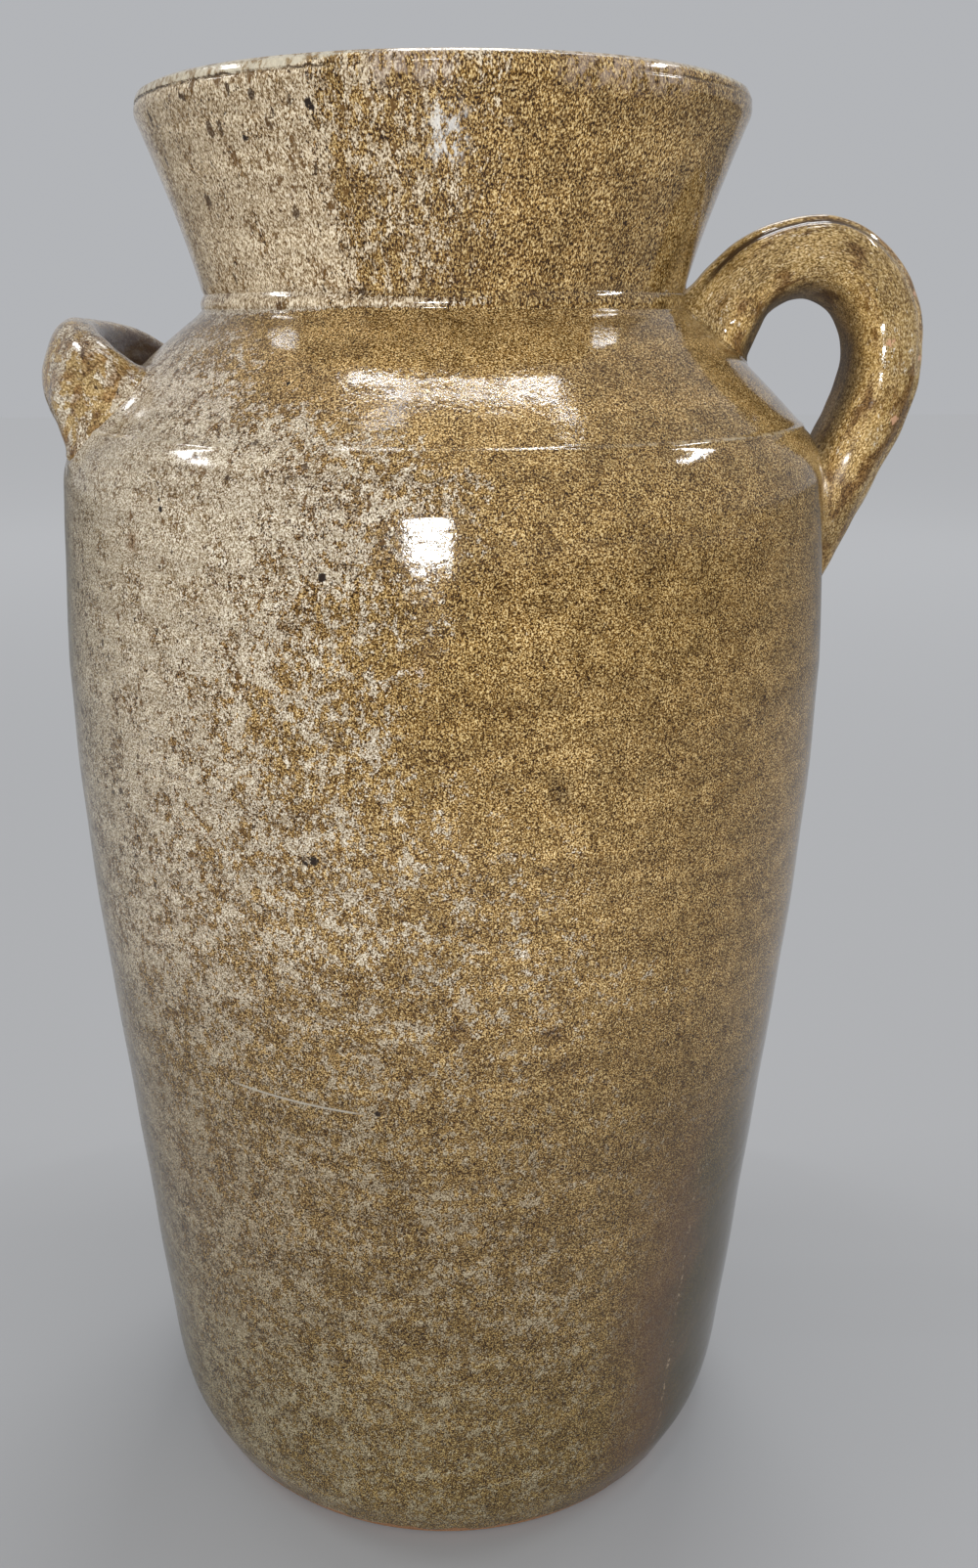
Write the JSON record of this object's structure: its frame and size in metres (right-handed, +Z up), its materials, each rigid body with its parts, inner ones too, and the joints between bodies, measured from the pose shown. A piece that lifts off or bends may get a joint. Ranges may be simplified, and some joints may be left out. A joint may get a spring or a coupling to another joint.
{
  "type": "stoneware butter churn",
  "caption": "Tall wheel-thrown stoneware churn jar with a conical shoulder, a flared collar, an upright strap handle on one side and a short bowed lug handle opposite.",
  "frame": {"origin": "on the jar's axis, at the middle of its flat underside", "axes": "+Z up along the jar's axis, +X toward the strap handle, -X toward the lug handle"},
  "size_m": [0.2886, 0.2572, 0.475],
  "materials": {
    "olive_glaze": "olive brown speckled ash glaze over stoneware, satin gloss, bare tan foot edge",
    "upper_glaze": "golden brown speckled ash glaze, glossy, cream toward one side",
    "cream_glaze": "cream and golden brown streaked ash glaze, glossy",
    "strap_glaze": "mottled brown ash glaze, glossy, thin at the edges",
    "lug_glaze": "cream and rust mottled ash glaze, glossy"
  },
  "bodies": {
    "root": {"lower_body": "olive_glaze", "upper_body": "upper_glaze", "collar": "cream_glaze", "strap_handle": "strap_glaze", "lug_handle": "lug_glaze"}
  },
  "joints": []
}
